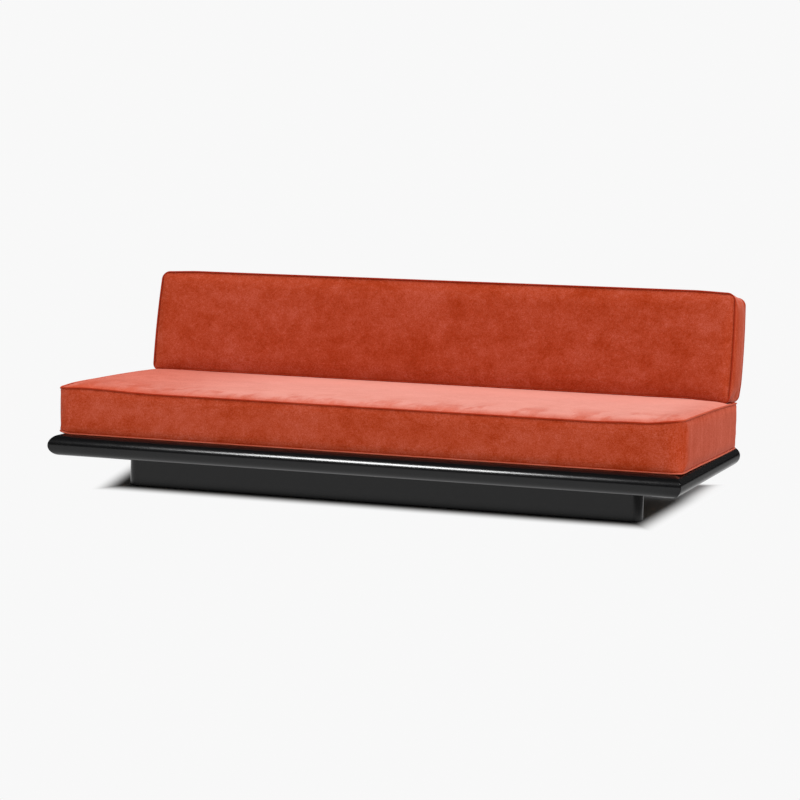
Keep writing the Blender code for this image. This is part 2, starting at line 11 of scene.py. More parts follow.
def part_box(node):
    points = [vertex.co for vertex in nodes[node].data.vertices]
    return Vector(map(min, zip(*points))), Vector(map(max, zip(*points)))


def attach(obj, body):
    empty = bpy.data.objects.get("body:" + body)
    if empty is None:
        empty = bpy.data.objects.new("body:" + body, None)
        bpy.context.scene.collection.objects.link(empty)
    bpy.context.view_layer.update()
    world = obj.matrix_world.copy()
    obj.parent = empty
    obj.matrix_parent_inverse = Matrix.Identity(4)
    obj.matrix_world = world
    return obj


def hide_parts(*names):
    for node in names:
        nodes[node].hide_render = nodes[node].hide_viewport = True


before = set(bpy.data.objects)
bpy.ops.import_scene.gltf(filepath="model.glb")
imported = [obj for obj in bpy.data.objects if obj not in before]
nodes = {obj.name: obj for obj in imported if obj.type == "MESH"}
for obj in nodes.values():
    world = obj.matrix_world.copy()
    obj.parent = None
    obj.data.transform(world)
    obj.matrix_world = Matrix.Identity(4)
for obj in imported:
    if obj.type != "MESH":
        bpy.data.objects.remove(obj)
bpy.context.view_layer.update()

scene = bpy.context.scene

# Platform and plinth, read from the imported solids.
front_low, front_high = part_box("front_rail")
plinth_low, plinth_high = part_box("front_plinth")
PLATFORM_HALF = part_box("right_rail")[1].x
PLATFORM_FRONT = front_low.y
PLATFORM_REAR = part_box("rear_rail")[1].y
PLATFORM_MID = (PLATFORM_FRONT + PLATFORM_REAR) / 2
PLATFORM_REACH = PLATFORM_MID - PLATFORM_FRONT
UNDERSIDE = front_low.z
PLATFORM_TOP = front_high.z
RAIL_WIDTH = 0.090
REBATE_WIDTH = 0.020
REBATE_DEPTH = 0.0183
MITRE_GAP = 0.0003
RAIL_ARC_POINTS = 49
RAIL_STATIONS = 13
PLINTH_ARC_POINTS = 33
SHARP_EDGE = math.radians(30)
RAIL_EASE = 0.0008
PLINTH_EASE = 0.0015
BOARD_EASE = 0.0012
WELD_DISTANCE = 0.0001

# Cushions: the outlines of their seams, in the sizes of the solids.
SEAT_HALF = PLATFORM_HALF - 0.010
SEAT_FRONT = PLATFORM_FRONT + 0.045
SEAT_REAR = PLATFORM_REAR - 0.030
SEAT_DEPTH = SEAT_REAR - SEAT_FRONT
SEAT_THICK = 0.158
SEAT_RADII = (0.045, 0.020)
SEAT_BOTTOM = PLATFORM_TOP + 0.0019
SEAT_CROWN = 0.011
BACK_HALF = PLATFORM_HALF - 0.030
BACK_HEIGHT = 0.386
BACK_THICK = 0.170
BACK_RADII = (0.024, 0.030)
BACK_CROWN = 0.011
BACK_BOW = 0.0075
BACK_BOW_SHARE = 0.35
BACK_DRAW = 0.002
BACK_TILT = math.radians(10.8)
BACK_FRONT = SEAT_REAR - 0.079
BACK_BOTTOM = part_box("back_front_piping")[0].z + 0.0016

# How the used cushions depart from an even box: rises, drops and bulges.
SEAT_RIGHT_RISE = 0.0045
SEAT_RIGHT_CORNER_RISE = 0.0145
SEAT_LEFT_RISE = 0.0080
SEAT_LEFT_DROP = 0.004
SEAT_LEFT_CORNER_DROP = 0.007
SEAT_FRONT_RISE = 0.003
SEAT_LEFT_PLUMP = 0.0033
SEAT_LEFT_CURL = 0.007
SEAT_SAG_SHARE = 0.85
SEAT_GIVE = 0.0010
DENT_LEAD = 0.004
DENT_SLOPE = 0.25
FOOT_SWELL = 0.0032
FOOT_HANG = 0.014
FOOT_SETTLE_LEFT = 0.006
FOOT_SETTLE_RIGHT = 0.012
BACK_RIGHT_FLARE = 0.004
BACK_END_DROOP = 0.005
BACK_RIGHT_PERK = 0.002
BACK_TOP_RISE = 0.0008
BACK_TOP_RUN = 0.0055

# Painted light on the velvet: how much painted sheen the ends of the seat lose, how far the ends of its seams
# are kept clear of painted shade, and how much and where the upper piping is painted lighter, lifting its
# shade.
SHEEN_LOST_LEFT = 0.65
SHEEN_LOST_RIGHT = 0.35
SEAM_END_CLEAR = 0.006
SHADE_LIFTED_SHARE = 0.85
SHADE_LIFTED_ENDS = (0.975, 0.998)

# Seams: the cover is drawn in by half the seam's width, and the piping lies in the fold.
SEAM_WIDTH = 0.008
PIPING_RADIUS = 0.003
PIPING_INSET = 0.0015
PIPING_SIDES = 10
PIPING_STEP = 0.004
PIPING_CORNER_POINTS = 17

# Grid of the covers, fine along the seams, and the cloth run that swells them.
SEAM_STEP = 0.004
SHEET_STEP = 0.018
BACK_SHEET_STEP = 0.016
BOXING_STEP = 0.014
SIM_FRAMES = 16
SIM_PRESSURE = 4.0
SEAT_BOXING_SWELL = 0.006
SEAT_FRONT_SWELL = 0.004
BACK_BOXING_SWELL = 0.007
BACK_FOOT_SWELL = 0.0004
LOW_SIDE_BAND = 0.01

# Posts behind the seat, and the pockets for them in the foot of the back cushion.
POST_WIDTH = 0.040
POST_THICK = 0.008
POST_CORNER = 0.002
POST_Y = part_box("centre_back_post")[0].y + POST_THICK / 2
POST_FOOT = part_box("centre_back_post")[0].z
POST_BEND_BELOW = 0.034
POST_BEND_RADIUS = 0.060
POST_BEND_POINTS = 13
POST_CORNER_POINTS = 5
POST_SHARP_EDGE = math.radians(50)
POST_IN_CUSHION = 0.215
POST_OUTER = (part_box("right_back_post")[0].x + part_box("right_back_post")[1].x) / 2
POST_SETBACK = (POST_Y - BACK_FRONT) * math.cos(BACK_TILT) + POST_BEND_BELOW * math.sin(BACK_TILT)
POCKET_HALF_WIDTH = 0.026
POCKET_HALF_THICK = 0.0085
POCKET_DEPTHS = (0.004, 0.016, 0.080, 0.160, 0.232)
POCKET_FROM_SEAM = 0.05

# Zips: the bands of the cover that they lie in, and the tape's section as shares of its half width and as
# heights. A bar is given by half its length, half its width, and its underside and top above the cover.
SEAT_ZIP_HALF = 0.76
BACK_ZIP_HALF = 0.66
ZIP_SETBACK = 0.036
ZIP_REAR_BAND = 0.02
ZIP_FOOT_BAND = 0.03
ZIP_HALF_WIDTH = 0.006
TAPE_ACROSS = (-1.0, -0.98, -0.5, 0.0, 0.5, 0.98, 1.0)
TAPE_OUT = (-0.0006, 0.0004, 0.0007, 0.0008, 0.0007, 0.0004, -0.0006)
ZIP_STEP = 0.02
ZIP_PITCH = 0.0026
ZIP_BARE_END = 0.012
TOOTH_OFFSET = 0.0009
TOOTH_BAR = (0.0008, 0.0016, 0.0006, 0.0019)
SLIDER_BAR = (0.006, 0.004, 0.0008, 0.0036)
SLIDER_FROM_END = 0.016
PULL_BAR = (0.014, 0.0025, 0.0016, 0.0026)
PULL_FROM_END = 0.034


class Value:
    """A number socket in a node tree: + - and * on it add the Math node, so a formula reads as written."""

    def __init__(self, board, socket):
        self.board = board
        self.socket = socket

    def _math(self, operation, first, second):
        return self.board.node("ShaderNodeMath", {"operation": operation}, {0: first, 1: second})

    def __add__(self, other):
        return self._math("ADD", self, other)

    def __sub__(self, other):
        return self._math("SUBTRACT", self, other)

    def __rsub__(self, other):
        return self._math("SUBTRACT", other, self)

    def __mul__(self, other):
        return self._math("MULTIPLY", self, other)

    __radd__ = __add__


class Board:
    """The node tree of one material or of the world."""

    # The colour sockets of a Mix node, by their place because their names repeat.
    MIX_FIRST, MIX_SECOND, MIX_RESULT = 6, 7, 2

    def __init__(self, owner):
        owner.use_nodes = True
        self.tree = owner.node_tree

    def node(self, kind, settings=None, inputs=None, out=0):
        """Adds one node: its settings first, then the values or links of its sockets. Gives the output
        that out names, or a list of outputs for a tuple of names."""
        made = self.tree.nodes.new(kind)
        for name, value in (settings or {}).items():
            setattr(made, name, value)
        for name, value in (inputs or {}).items():
            self.feed(made.inputs[name], value)
        if isinstance(out, tuple):
            return [Value(self, made.outputs[name]) for name in out]
        return Value(self, made.outputs[out]) if made.outputs else made

    def feed(self, socket, value):
        """Links a Value to the socket, or writes a plain number or colour on it."""
        if isinstance(value, Value):
            self.tree.links.new(value.socket, socket)
        else:
            socket.default_value = value

    def place(self, stretch=(1.0, 1.0, 1.0)):
        """Object coordinates in metres, stretched."""
        where = self.node("ShaderNodeTexCoord", out="Object")
        return self.node("ShaderNodeMapping", {}, {"Vector": where, "Scale": stretch})

    def noise(self, where, scale, detail=2.0, rough=0.5, twist=0.0):
        """Smooth noise from 0 to 1, with this many swells to the metre."""
        inputs = {"Vector": where, "Scale": scale, "Detail": detail, "Roughness": rough, "Distortion": twist}
        return self.node("ShaderNodeTexNoise", {}, inputs, "Fac")

    def ramp(self, value, low, high):
        """0 below low, 1 above high, smooth between."""
        inputs = {"Value": value, "From Min": low, "From Max": high}
        return self.node("ShaderNodeMapRange", {"interpolation_type": "SMOOTHSTEP"}, inputs)

    def attribute(self, name):
        """A number stored on the piece's points."""
        return self.node("ShaderNodeAttribute", {"attribute_name": name}, out="Fac")

    def mix(self, share, first, second):
        """The first colour where share is 0, the second where it is 1."""
        inputs = {0: share}
        for socket, colour in ((self.MIX_FIRST, first), (self.MIX_SECOND, second)):
            inputs[socket] = colour if isinstance(colour, Value) else (*colour, 1.0)
        return self.node("ShaderNodeMix", {"data_type": "RGBA"}, inputs, self.MIX_RESULT)

    def bump(self, height, depth, strength):
        """A normal from a height between 0 and 1, depth metres deep."""
        return self.node("ShaderNodeBump", {}, {"Height": height, "Distance": depth, "Strength": strength})


def finish(name, colour, roughness, normal=None, metallic=0.0, **constants):
    """A Principled material: colour, roughness and normal may vary, and the named constants stay on their
    sockets."""
    made = bpy.data.materials.new(name)
    board = Board(made)
    shader = board.tree.nodes["Principled BSDF"]
    varying = {"Base Color": colour, "Roughness": roughness, "Normal": normal}
    for socket, recipe in varying.items():
        value = recipe(board) if callable(recipe) else recipe
        if isinstance(value, tuple):
            value = (*value, 1.0)
        if value is not None:
            board.feed(shader.inputs[socket], value)
    shader.inputs["Metallic"].default_value = metallic
    for socket, value in constants.items():
        shader.inputs[socket.replace("_", " ")].default_value = value
    return made


def velvet(name, dark, middle, light, sheen):
    """Cotton velvet: cloudy patches where the pile lies differently, a fine fibre speckle, upright brush
    marks on the ends of the cushions, painted shade that darkens it along its seams and the piping cords all
    over, and a painted sheen that turns the cloth pale where it is seen along its surface, weaker in ruffled
    patches along the front of the seat and painted brighter towards the back cushion."""

    def colour(board):
        facing = board.node("ShaderNodeNewGeometry", out="Normal")
        aside, upward = board.node("ShaderNodeSeparateXYZ", {}, {0: facing}, ("X", "Z"))
        sideways = board.node("ShaderNodeMath", {"operation": "ABSOLUTE"}, {0: aside})
        end = board.ramp(sideways, 0.5, 0.8)
        top = board.ramp(upward, 0.5, 0.9)
        clouds = board.noise(board.place((0.8, 1.0, 1.0)), 9.0, 4.0, 0.62, 0.4)
        patches = board.noise(board.place((0.9, 1.0, 1.1)), 27.0, 3.0, 0.6, 0.3)
        strokes = board.noise(board.place((1.0, 1.0, 0.16)), 34.0, 3.0, 0.6, 0.2)
        specks = board.noise(board.place(), 110.0, 2.0, 0.6)
        fibres = board.noise(board.place(), 290.0, 2.0, 0.8)
        broad = (clouds - 0.5) * 0.95 + (patches - 0.5) * 0.6
        brushed = broad * 0.55 + (strokes - 0.5) * 0.7
        fine = (specks - 0.5) * 0.6 + (fibres - 0.5) * 1.7
        lie = 0.5 + broad + (brushed - broad) * end + fine
        # Painted shade: within 11 mm of a seam the cloth is mixed up to halfway towards its dark colour;
        # pieces with no stored seam distance, the piping cords, are mixed halfway all over.
        seam = 1 - board.ramp(board.attribute("seam"), 0.0, 0.011)
        worn = board.mix(board.ramp(lie, 0.10, 0.55), dark, middle)
        shade = board.mix(board.ramp(lie, 0.48, 0.92), worn, light)
        seam_shaded = board.mix(seam * 0.5, shade, dark)
        # Painted light: the piping is mixed towards the light colour by its stored share, lifting its painted
        # shade at the ends of the seat.
        shade_lifted = board.mix(board.attribute("shade_lifted"), seam_shaded, light)
        # Painted sheen: seen along the surface, the colour is mixed towards pale pink, fully on upward faces
        # by the stored sheen share and half as much in ruffled patches, and a fifth as much on the sides.
        along = board.node("ShaderNodeLayerWeight", {}, {"Blend": 0.5}, "Facing")
        depth = board.attribute("depth")
        rubs = board.noise(board.place((1.0, 0.3, 1.0)), 14.0, 3.0, 0.6)
        ruffled = (1 - board.ramp(depth, 0.08, 0.42)) * board.ramp(rubs, 0.46, 0.62)
        sheen_top = top * board.ramp(along, 0.40, 0.95) * board.attribute("sheen_share") * (1 - ruffled * 0.5)
        sheen_side = (1 - top) * board.ramp(along, 0.62, 0.95) * 0.2
        uneven = board.mix(board.ramp(lie, 0.15, 0.85), PALE_LOW, PALE_HIGH)
        # Painted light: towards the back cushion the painted sheen turns brighter, against the shade there.
        pale = board.mix(board.ramp(depth, 0.55, 1.0), uneven, PALE_REAR)
        return board.mix(sheen_top + sheen_side, shade_lifted, pale)

    def normal(board):
        pile = board.noise(board.place(), 900.0, 3.0, 0.7)
        ruffle = board.noise(board.place((0.6, 1.0, 1.0)), 120.0, 3.0, 0.6)
        return board.bump(pile * 0.4 + ruffle * 0.6, 0.0003, 0.12)

    return finish(name, colour, 0.90, normal, Sheen_Weight=sheen, Sheen_Roughness=0.25,
                  Sheen_Tint=(1.0, 0.90, 0.80, 1.0), Specular_IOR_Level=0.05)


def lacquer(name):
    """Black lacquer on wood: near black, a satin gloss and a faint long grain under the film."""

    def roughness(board):
        haze = board.noise(board.place(), 14.0, 3.0, 0.6)
        return 0.15 + haze * 0.08

    def normal(board):
        grain = board.noise(board.place((0.25, 0.25, 3.0)), 90.0, 4.0, 0.6)
        return board.bump(grain, 0.0001, 0.12)

    return finish(name, (0.0035, 0.0035, 0.0038), roughness, normal, IOR=1.4)


def timber(name, light, dark, along, rings):
    """Planed wood: bands of early and late growth drawn out along the board, with fine pores."""
    stretch = tuple(0.06 if axis == along else 1.0 for axis in range(3))

    def bands(board):
        drawn = board.noise(board.place(stretch), rings, 4.0, 0.55, 1.2)
        return board.ramp(drawn, 0.30, 0.72)

    def colour(board):
        pores = board.noise(board.place(stretch), rings * 14, 3.0, 0.7)
        return board.mix(bands(board) * 0.75 + pores * 0.25, light, dark)

    def normal(board):
        return board.bump(bands(board), 0.0003, 0.3)

    return finish(name, colour, 0.55, normal)


def grained(name, colour, roughness, scale, depth, strength):
    """A plain colour with a fine even grain, such as a powder coat or matt plastic."""

    def normal(board):
        return board.bump(board.noise(board.place(), scale, 2.0, 0.5), depth, strength)

    return finish(name, colour, roughness, normal)


def zinc_plate(name):
    """Zinc-plated steel, slightly uneven."""

    def roughness(board):
        return 0.28 + board.noise(board.place(), 260.0, 3.0, 0.6) * 0.16

    return finish(name, (0.58, 0.60, 0.62), roughness, metallic=1.0)


def zip_look(name):
    """Woven zip tape with brass-coloured teeth: the stored number is 1 on the teeth and 0 on the tape."""

    def colour(board):
        weave = board.noise(board.place((1.0, 4.0, 4.0)), 700.0, 2.0, 0.6)
        tape = board.mix(weave, (0.16, 0.030, 0.016), (0.24, 0.050, 0.028))
        return board.mix(board.attribute("tooth"), tape, (0.33, 0.20, 0.08))

    return finish(name, colour, 0.55)


# Colours of the painted sheen in its darker and lighter patches, and its brighter painted light near the back
# cushion.
PALE_LOW = (0.550, 0.208, 0.166)
PALE_HIGH = (0.615, 0.256, 0.210)
PALE_REAR = (0.720, 0.285, 0.228)
VELVET = velvet("rust velvet", (0.335, 0.029, 0.003), (0.432, 0.057, 0.020), (0.515, 0.098, 0.056), 0.06)
# The piping cords get a darker copy of the velvet: painted shade for the lines of the seams.
PIPING = velvet("piping velvet", (0.300, 0.018, 0.004), (0.400, 0.045, 0.013), (0.470, 0.075, 0.034), 0.03)
# The lower piping gets a lighter copy of the velvet: painted light along the foot of the seat.
WELT = velvet("lower piping velvet", (0.450, 0.075, 0.036), (0.570, 0.130, 0.075), (0.650, 0.180, 0.115),
              0.06)
LACQUER = lacquer("black lacquer")
PLYWOOD = timber("birch plywood", (0.62, 0.45, 0.27), (0.50, 0.33, 0.17), 0, 34.0)
BEECH_LONG = timber("beech along y", (0.62, 0.42, 0.24), (0.48, 0.29, 0.15), 1, 48.0)
STEEL = grained("black coated steel", (0.022, 0.022, 0.024), 0.48, 1400.0, 0.0002, 0.4)
ZINC = zinc_plate("zinc plate")
NYLON = grained("black nylon", (0.030, 0.030, 0.032), 0.5, 2200.0, 0.0001, 0.3)
ZIP = zip_look("zip")


def piece(name, points, faces, look, body, smooth=True):
    """Puts points and faces in the scene as one named piece that moves with a body."""
    mesh = bpy.data.meshes.new(name)
    mesh.from_pydata(points.reshape(-1, 3).tolist(), [], [list(face) for face in faces])
    mesh.polygons.foreach_set("use_smooth", np.full(len(mesh.polygons), smooth))
    mesh.materials.append(look)
    made = bpy.data.objects.new(name, mesh)
    scene.collection.objects.link(made)
    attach(made, body)
    return made


def store(made, name, values):
    """Keeps one number for each point of a piece, for its finish to read."""
    kept = made.data.attributes.new(name, "FLOAT", "POINT")
    kept.data.foreach_set("value", np.asarray(values, np.float32))


def quads(index):
    """The quads between the rows and columns of a grid of point numbers."""
    return np.stack([index[:-1, :-1], index[:-1, 1:], index[1:, 1:], index[1:, :-1]], -1).reshape(-1, 4)


def sweep_faces(rows, columns, closed_rows, closed_columns):
    """Quads of a grid of rows and columns, joined round where a direction is closed; ends are capped."""
    index = np.arange(rows * columns).reshape(rows, columns)
    if closed_rows:
        index = np.vstack([index, index[:1]])
    if closed_columns:
        index = np.hstack([index, index[:, :1]])
    faces = quads(index).tolist()
    if closed_columns and not closed_rows:
        faces.append(index[0, :columns][::-1].tolist())
        faces.append(index[-1, :columns].tolist())
    return faces


def ease(made, width, segments=2):
    """Rounds the sharp edges of a piece a little, as sanding does."""
    bevel = made.modifiers.new("ease", "BEVEL")
    bevel.width = width
    bevel.segments = segments
    bevel.limit_method = "ANGLE"
    bevel.angle_limit = SHARP_EDGE
    bevel.use_clamp_overlap = True
    bevel.harden_normals = True
    made.data.set_sharp_from_angle(angle=SHARP_EDGE)


def rail(name, node, half, reach, turn):
    """A mitred rail: its section is a half round of the platform's thickness, a flat top, a rebate for the
    deck and a square inner side; each section point lies on both mitre planes, at half minus its distance
    in."""
    radius = (PLATFORM_TOP - UNDERSIDE) / 2
    angles = np.linspace(1.5 * np.pi, 0.5 * np.pi, RAIL_ARC_POINTS)
    inward = np.concatenate([radius + radius * np.cos(angles), [RAIL_WIDTH - REBATE_WIDTH] * 2,
                             [RAIL_WIDTH] * 2])
    top = PLATFORM_TOP - UNDERSIDE
    floor = top - REBATE_DEPTH
    height = np.concatenate([radius + radius * np.sin(angles), [top, floor, floor, 0.0]])
    stations = np.linspace(-1.0, 1.0, RAIL_STATIONS)[:, None]
    along = stations * (half - MITRE_GAP - inward)
    points = np.stack(np.broadcast_arrays(along, inward - reach, height), -1)
    spun = points @ np.array(Matrix.Rotation(turn, 3, "Z")).T
    spun += (0.0, PLATFORM_MID, UNDERSIDE)
    made = piece(name, spun, sweep_faces(*along.shape, False, True), LACQUER, "base")
    ease(made, RAIL_EASE)
    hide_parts(node)


def plinth_board(name, node):
    """A board whose two ends are full half rounds: its outline is two half circles joined by straight
    sides."""
    low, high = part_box(node)
    radius = (high.y - low.y) / 2
    straight = (high.x - low.x) / 2 - radius
    angles = np.linspace(-np.pi / 2, np.pi / 2, PLINTH_ARC_POINTS)
    x = np.concatenate([straight + radius * np.cos(angles), -straight - radius * np.cos(angles)])
    y = np.concatenate([radius * np.sin(angles), -radius * np.sin(angles)]) + (low.y + high.y) / 2
    levels = np.array([low.z, high.z])[:, None]
    points = np.stack(np.broadcast_arrays(x, y, levels), -1)
    made = piece(name, points, sweep_faces(2, len(x), False, True), LACQUER, "base")
    ease(made, PLINTH_EASE, segments=3)
    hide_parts(node)


def graded(length, fine, coarse, growth=1.25):
    """Grid lines across a length: the steps grow from fine at both ends to coarse in the middle."""
    count = int(math.log(coarse / fine) / math.log(growth))
    edge = np.concatenate([[0.0], np.cumsum(fine * growth ** np.arange(count))])
    middle = length - 2 * edge[-1]
    inner = np.linspace(edge[-1], length - edge[-1], max(int(round(middle / coarse)), 2) + 1)
    return np.concatenate([edge[:-1], inner, length - edge[:-1][::-1]])


def corner_turn(lines, length, low_radius, high_radius):
    """One side of a rounded rectangle at these grid lines: distance along it, and distance in from it.
    Within a radius of a corner the line follows the arc, and the corner line lies at the arc's middle."""
    radius = np.where(lines > length / 2, high_radius, low_radius)
    near = np.minimum(lines, length - lines)
    angle = np.pi / 4 * (1 - np.clip(near / radius, 0, 1))
    along = np.where(near < radius, radius - radius * np.sin(angle), near)
    along = np.where(lines > length / 2, length - along, along)
    return along, radius - radius * np.cos(angle)


def rounded_sheet(across, along, radii):
    """A flat grid over a rectangle with one radius for its two low corners and one for its two high ones: a
    Coons patch between its four sides, about its own middle."""
    wide, high = across[-1], along[-1]
    u = (across / wide)[None, :]
    v = (along / high)[:, None]
    low_x, low_in = (line[None, :] for line in corner_turn(across, wide, radii[0], radii[0]))
    high_x, high_in = (line[None, :] for line in corner_turn(across, wide, radii[1], radii[1]))
    end_y, end_in = (line[:, None] for line in corner_turn(along, high, *radii))
    low_corner, high_corner = low_in[0, 0], high_in[0, 0]
    corner = low_corner * (1 - v) + high_corner * v
    x = (1 - v) * low_x + v * high_x + (1 - u) * end_in + u * (wide - end_in)
    x = x - (1 - u) * corner - u * (wide - corner)
    y = (1 - v) * low_in + v * (high - high_in) + end_y - (1 - v) * low_corner - v * (high - high_corner)
    return x - wide / 2, y - high / 2


def snapped(grid, lines):
    """The grid with its nearest lines moved onto these."""
    moved = grid.copy()
    for line in lines:
        moved[np.abs(moved - line).argmin()] = line
    return moved


class Cushion:
    """A box cushion as one closed grid of quads in its own frame (across, along, level): a low and a high
    sheet over the same rounded rectangle, and rows of boxing between their edges. Each seam is drawn in by
    half its width."""

    def __init__(self, thick, radii, across, along, levels):
        wide, high = across[-1], along[-1]
        self.wide, self.high, self.thick, self.radii = wide, high, thick, radii
        self.across, self.levels = across, levels
        x, y = rounded_sheet(across, along, radii)
        rows, columns = x.shape
        index = np.arange(rows * columns).reshape(rows, columns)
        ring = np.concatenate([index[0, :-1], index[:-1, -1], index[-1, :0:-1], index[:0:-1, 0]])
        from_side = np.minimum(across, wide - across)[None, :]
        from_end = np.minimum(along, high - along)[:, None]
        edge = np.minimum(from_side, from_end)
        fold = np.clip(1 - edge / SEAM_WIDTH, 0, 1) * SEAM_WIDTH / 2
        ring_x, ring_y = x.ravel()[ring], y.ravel()[ring]
        out_x = np.roll(ring_y, -1) - np.roll(ring_y, 1)
        out_y = np.roll(ring_x, 1) - np.roll(ring_x, -1)
        size = np.hypot(out_x, out_y)
        out = np.stack([out_x / size, out_y / size], -1)
        draw = np.zeros((rows * columns, 2))
        draw[ring] = out * SEAM_WIDTH / 2
        flat = np.stack([x.ravel(), y.ravel()], -1) - draw
        low = np.column_stack([flat, fold.ravel()])
        high_sheet = np.column_stack([flat, thick - fold.ravel()])
        inner = levels[1:-1]
        near = np.minimum(inner, thick - inner)
        pull = np.clip(1 - near / SEAM_WIDTH, 0, 1) * SEAM_WIDTH / 2
        outline = np.stack([ring_x, ring_y], -1)
        wall = outline[None] - out[None] * pull[:, None, None]
        stacked = np.concatenate([wall, np.broadcast_to(inner[:, None, None], (*wall.shape[:2], 1))], -1)
        self.points = np.concatenate([low, high_sheet, stacked.reshape(-1, 3)])
        self.sheet = rows * columns
        self.seam_near = np.concatenate([edge.ravel(), edge.ravel(), np.repeat(near, len(ring))])
        boxing = 2 * self.sheet + np.arange(len(inner) * len(ring)).reshape(len(inner), -1)
        self.rows = np.vstack([ring, boxing, self.sheet + ring])
        self.index = index
        self.seams = np.concatenate([ring, self.sheet + ring])

    def faces(self):
        """Quads of both sheets and of the boxing, all facing out."""
        up = quads(self.index)
        wall = quads(np.hstack([self.rows, self.rows[:, :1]]))
        return np.concatenate([up[:, ::-1], up + self.sheet, wall])

    def caps(self, low, high, boxing, low_side):
        """How far each point may swell: on the low sheet, the high sheet, the boxing, and the boxing along
        the cushion's low side."""
        share = np.full(len(self.points), boxing)
        share[self.points[:, 1] < -self.high / 2 + LOW_SIDE_BAND] = low_side
        share[: self.sheet] = low
        share[self.sheet: 2 * self.sheet] = high
        return share


def swollen(name, points, faces, pinned, caps):
    """Where the cover lies when its filling presses on it: a Cloth run with pressure and no gravity and the
    seams held; each point's move m is softened to cap * tanh(m / cap)."""
    mesh = bpy.data.meshes.new(name + " trial")
    mesh.from_pydata(points.tolist(), [], faces.tolist())
    trial = bpy.data.objects.new(name + " trial", mesh)
    scene.collection.objects.link(trial)
    held = trial.vertex_groups.new(name="seams")
    held.add(pinned.tolist(), 1.0, "REPLACE")
    cloth = trial.modifiers.new("swell", "CLOTH")
    cloth.point_cache.frame_start = 1
    cloth.point_cache.frame_end = SIM_FRAMES
    settings = cloth.settings
    settings.quality = 4
    settings.mass = 0.4
    settings.vertex_group_mass = "seams"
    settings.tension_stiffness = 25.0
    settings.compression_stiffness = 25.0
    settings.shear_stiffness = 12.0
    settings.bending_stiffness = 1.5
    settings.use_pressure = True
    settings.uniform_pressure_force = SIM_PRESSURE
    settings.effector_weights.gravity = 0.0
    for step in range(1, SIM_FRAMES + 1):
        scene.frame_set(step)
    shown = trial.evaluated_get(bpy.context.evaluated_depsgraph_get()).data
    moved = np.empty(len(shown.vertices) * 3)
    shown.vertices.foreach_get("co", moved)
    bpy.data.objects.remove(trial, do_unlink=True)
    bpy.data.meshes.remove(mesh)
    scene.frame_set(1)
    shift = moved.reshape(-1, 3) - points
    size = np.linalg.norm(shift, axis=1)
    safe = np.maximum(size, 1e-9)
    cap = np.maximum(caps, 1e-9)
    return points + shift * (cap * np.tanh(size / cap) / safe)[:, None]


def smooth(value, start, end):
    """0 before start, 1 after end, and 3t^2 - 2t^3 between."""
    t = np.clip((value - start) / (end - start), 0, 1)
    return t * t * (3 - 2 * t)


def seat_place(local):
    """The seat cushion lies flat: across is x, along is y and level is up from its underside. Both ends
    stand a little higher in front and lower behind, the right end more, and its underside sags where it
    hangs over the half-round edge. Ranges are shares of half its width and of its depth."""
    x, y, level = local[..., 0], local[..., 1], local[..., 2]
    height = level / SEAT_THICK
    behind = y / SEAT_DEPTH + 0.5
    fall = np.clip(behind, 0, 1) ** 2.2
    side = x / SEAT_HALF
    right = SEAT_RIGHT_RISE * smooth(side, 0.72, 0.86) + SEAT_RIGHT_CORNER_RISE * smooth(side, 0.88, 1.02)
    left = SEAT_LEFT_RISE * smooth(-side, 0.65, 0.91)
    ear = SEAT_LEFT_DROP * smooth(-side, 0.90, 1.0) * (1 - smooth(behind, 0.03, 0.16))
    ear = ear + SEAT_LEFT_CORNER_DROP * smooth(-side, 0.982, 1.0) * (1 - smooth(behind, 0.0, 0.06))
    front = SEAT_FRONT_RISE * (1 - smooth(behind, 0.0, 0.4))
    rise = right * (1 - 1.15 * fall) + left * (1 - 1.35 * fall * np.clip(behind, 0, 1)) - ear + front
    plump = SEAT_LEFT_PLUMP * smooth(-side, 0.75, 0.97) * smooth(behind, 0.03, 0.3)
    rise = rise + plump * (1 - 0.8 * smooth(behind, 0.92, 1.0))
    curl = SEAT_LEFT_CURL * smooth(-side, 0.945, 1.0) * (1 - smooth(behind, 0.0, 0.12))
    edge = (PLATFORM_TOP - UNDERSIDE) / 2
    over = np.clip(np.abs(x) - PLATFORM_HALF + edge, 0, 0.9 * edge)
    hollow = edge - np.sqrt(edge * edge - over * over)
    sag = SEAT_SAG_SHARE * hollow * smooth(behind, 0.0, 0.9) * np.clip(1 - height, 0, 1) ** 1.5
    lifted = level + rise * height - sag + curl * np.clip(1 - height, 0, 1) ** 3
    return np.stack([x, y + (SEAT_FRONT + SEAT_REAR) / 2, SEAT_BOTTOM + lifted], -1)


def foot_swell(behind):
    """How far the foot of the back cushion bulges down at a distance behind its front seam."""
    return FOOT_SWELL * smooth(behind, 0.002, 0.030)


def end_settle(x):
    """How far the foot of the back cushion comes down at its ends, where the seat's crown falls away."""
    return np.where(x > 0, FOOT_SETTLE_RIGHT, FOOT_SETTLE_LEFT) * smooth(np.abs(x) / BACK_HALF, 0.86, 1.0)


def seat_press(points):
    """The seat gives way under the foot of the back cushion."""
    behind = points[:, 1] - BACK_FRONT
    ahead = np.maximum(-DENT_LEAD - behind, 0)
    down = SEAT_GIVE + foot_swell(behind) + end_settle(points[:, 0])
    points[:, 2] = np.minimum(points[:, 2], BACK_BOTTOM - down + DENT_SLOPE * ahead)
    return points


def back_press(points):
    """The foot of the back cushion bulges down onto the seat behind its front seam."""
    behind = points[:, 1] - BACK_FRONT
    foot = 1 - smooth(points[:, 2] - BACK_BOTTOM, 0.004, 0.030)
    points[:, 2] -= foot_swell(behind) * foot * (1 - smooth(behind, 0.10, 0.15))
    return points


